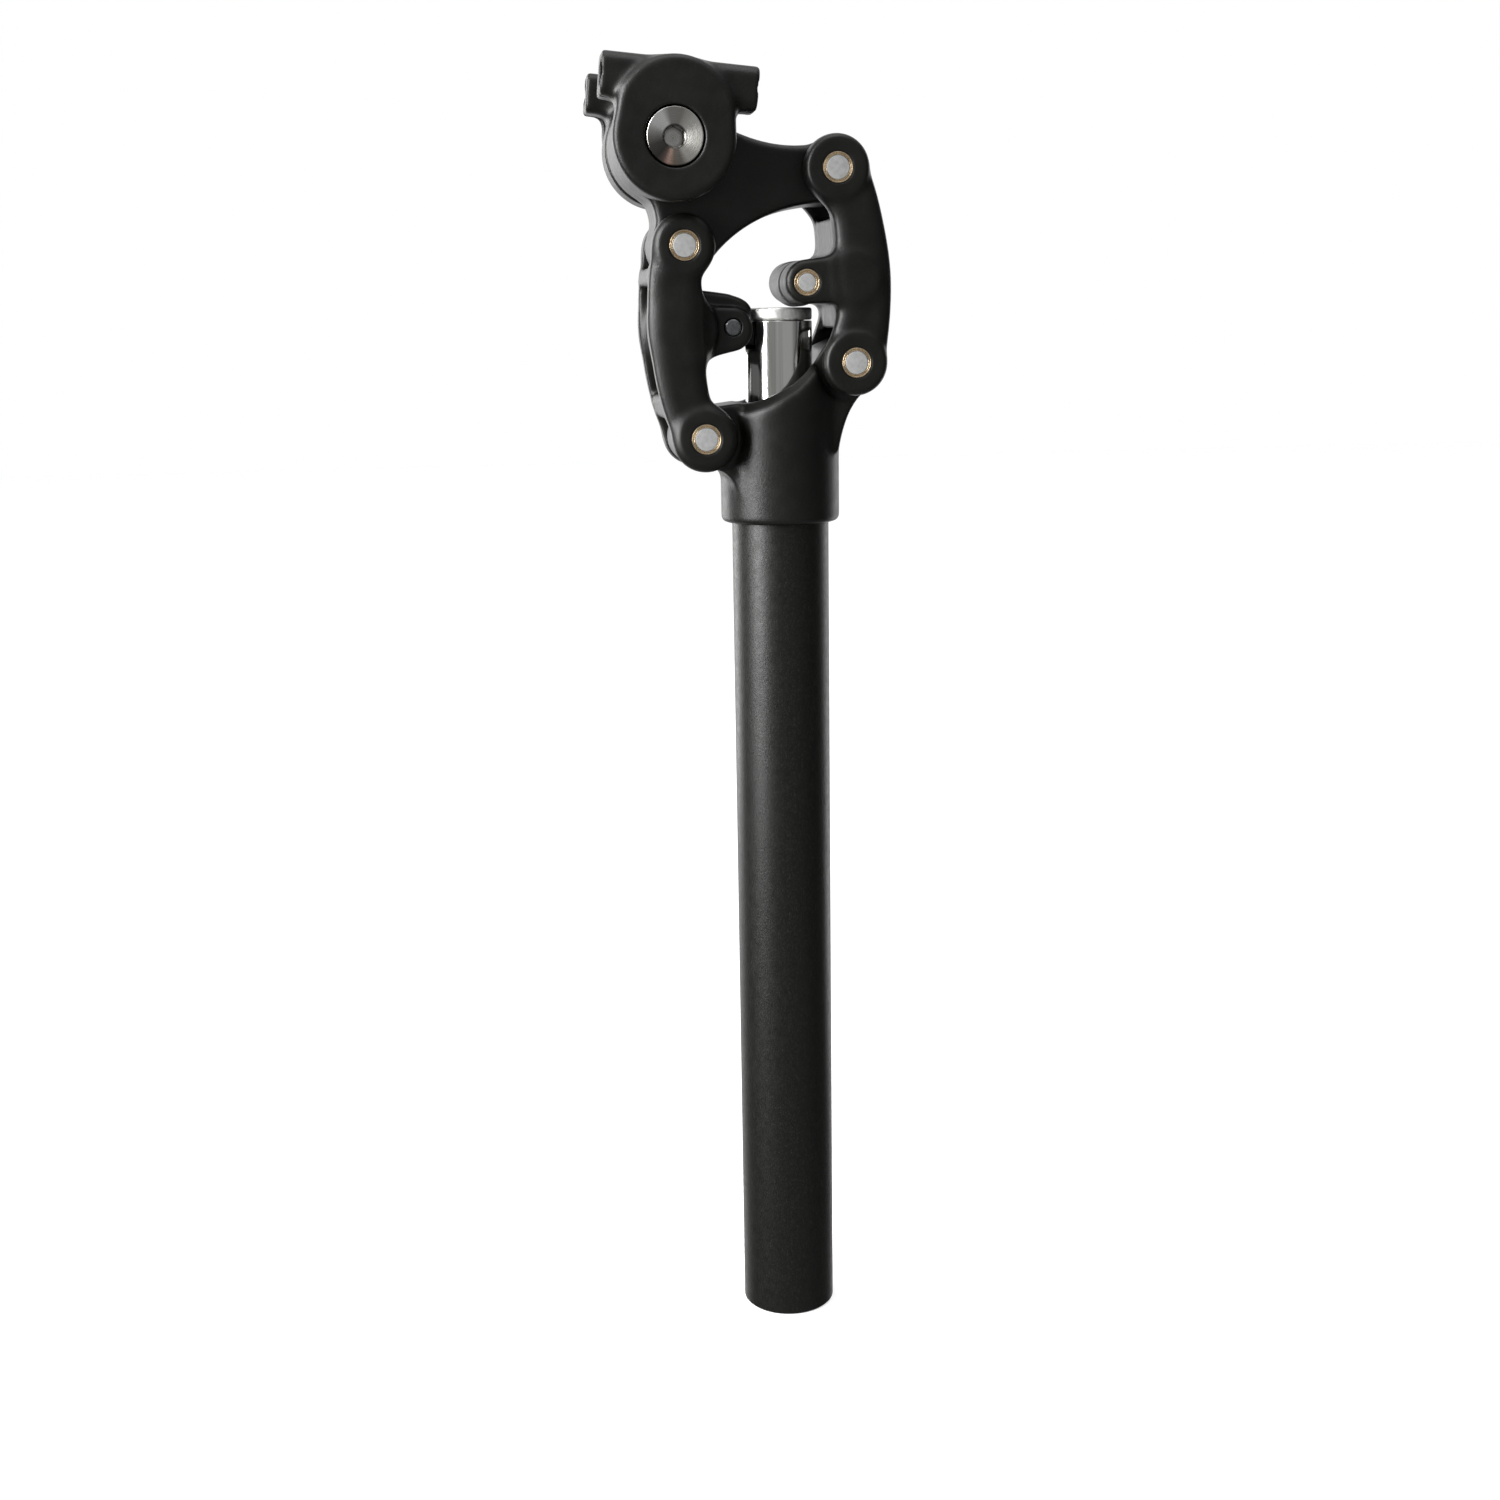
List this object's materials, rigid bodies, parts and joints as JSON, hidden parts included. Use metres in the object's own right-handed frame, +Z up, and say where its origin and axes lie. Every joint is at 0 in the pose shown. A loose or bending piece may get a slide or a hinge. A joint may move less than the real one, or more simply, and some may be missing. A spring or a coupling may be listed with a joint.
{
  "type": "suspension seatpost",
  "caption": "Parallelogram suspension seatpost: straight tube with a sprung plunger, two swinging links and a tilting side-bolt clamp for saddle rails.",
  "frame": {"origin": "centre of the seat tube's lower end face", "axes": "+Z up along the tube, +X the bicycle's forward, +Y its left; the linkage swings in the XZ plane"},
  "size_m": [0.0788, 0.056, 0.3608],
  "materials": {
    "cast_black": "satin black over cast aluminium",
    "tube_paint": "fine textured matte black powder coat",
    "nylon_white": "natural nylon",
    "nylon_black": "moulded, matte",
    "pin_steel": "satin ground ends",
    "dark_steel": "black oxide",
    "spring_steel": "phosphated",
    "elastomer": "translucent polyurethane",
    "plunger_chrome": "hard chrome, polished",
    "cap_steel": "satin, lightly scuffed",
    "stainless": "polished, turned face",
    "rubber_black": "matte",
    "bronze": "sintered bronze"
  },
  "bodies": {
    "post": {"seat_tube": "tube_paint", "lower_body": "cast_black", "guide_bush": "nylon_white", "main_spring": "spring_steel", "pin_rear_lower": "pin_steel", "pin_front_lower": "pin_steel"},
    "spring_seat": {"spring_seat": "pin_steel", "elastomer_core": "elastomer"},
    "preload_plug": {"preload_plug": "nylon_black"},
    "plunger": {"plunger": "plunger_chrome", "plunger_cap": "cap_steel", "plunger_slide_ring": "nylon_white", "spring_top_washer": "nylon_black"},
    "rear_link": {"rear_link": "cast_black", "bumper_pin": "dark_steel", "top_out_bumper": "rubber_black", "bush_rear_lower_left": "bronze", "bush_rear_lower_right": "bronze", "bush_rear_upper_left": "bronze", "bush_rear_upper_right": "bronze"},
    "front_link": {"front_link": "cast_black", "bush_front_lower_left": "bronze", "bush_front_lower_right": "bronze", "bush_front_upper_left": "bronze", "bush_front_upper_right": "bronze", "bush_roller_left": "bronze", "bush_roller_right": "bronze"},
    "roller": {"roller": "nylon_black", "roller_pin": "pin_steel"},
    "crown": {"crown": "cast_black", "pin_rear_upper": "pin_steel", "pin_front_upper": "pin_steel"},
    "saddle_clamp": {"inner_clamp_left": "cast_black", "inner_clamp_right": "cast_black"},
    "outer_clamp_right": {"outer_clamp_right": "cast_black", "clamp_washer": "dark_steel"},
    "outer_clamp_left": {"outer_clamp_left": "cast_black", "clamp_nut": "dark_steel"},
    "clamp_bolt": {"clamp_bolt": "stainless"}
  },
  "joints": [
    {"name": "suspension_travel", "type": "hinge", "parent": "post", "child": "rear_link", "pos_m": [-0.0226, 0, 0.2625], "axis": [0, -1, 0], "range_deg": [0, 44], "stiffness_Nm_per_rad": 16, "springref_deg": -28.65},
    {"name": "front_link_swing", "type": "hinge", "parent": "post", "child": "front_link", "pos_m": [0.0186, 0, 0.2821], "axis": [0, -1, 0], "range_deg": [0, 44.2]},
    {"name": "crown_pivot", "type": "hinge", "parent": "rear_link", "child": "crown", "pos_m": [-0.0275, 0, 0.3131], "axis": [0, -1, 0], "range_deg": [-44.2, 0]},
    {"name": "plunger_slide", "type": "slide", "parent": "post", "child": "plunger", "axis": [0, 0, -1], "range_m": [0, 0.0153], "deforming": ["main_spring"]},
    {"name": "roller_spin", "type": "hinge", "parent": "front_link", "child": "roller", "pos_m": [0.0053, 0, 0.3033], "axis": [0, -1, 0], "continuous": true},
    {"name": "clamp_tilt", "type": "hinge", "parent": "crown", "child": "saddle_clamp", "pos_m": [-0.0305, 0, 0.3395], "axis": [0, -1, 0], "range_deg": [-18, 18]},
    {"name": "right_clamp_slide", "type": "slide", "parent": "saddle_clamp", "child": "outer_clamp_right", "axis": [0, -1, 0], "range_m": [0, 0.005]},
    {"name": "left_clamp_slide", "type": "slide", "parent": "saddle_clamp", "child": "outer_clamp_left", "axis": [0, 1, 0], "range_m": [0, 0.005]},
    {"name": "clamp_bolt_turn", "type": "hinge", "parent": "outer_clamp_right", "child": "clamp_bolt", "pos_m": [-0.0305, 0, 0.3395], "axis": [0, -1, 0], "range_deg": [0, 2880]},
    {"name": "spring_seat_slide", "type": "slide", "parent": "post", "child": "spring_seat", "axis": [0, 0, 1], "range_m": [0, 0.006], "deforming": ["main_spring"]},
    {"name": "preload_turn", "type": "hinge", "parent": "spring_seat", "child": "preload_plug", "pos_m": [0, 0, 0.003], "axis": [0, 0, 1], "range_deg": [0, 1440]}
  ],
  "couplings": [
    {"joint": "front_link_swing", "follows": "suspension_travel", "ratio": 1},
    {"joint": "crown_pivot", "follows": "suspension_travel", "ratio": -1},
    {"joint": "plunger_slide", "follows": "suspension_travel", "m_per_rad": 0.0198},
    {"joint": "left_clamp_slide", "follows": "right_clamp_slide", "ratio": 1},
    {"joint": "clamp_bolt_turn", "follows": "right_clamp_slide", "rad_per_m": 10053},
    {"joint": "preload_turn", "follows": "spring_seat_slide", "rad_per_m": 4188.7}
  ]
}
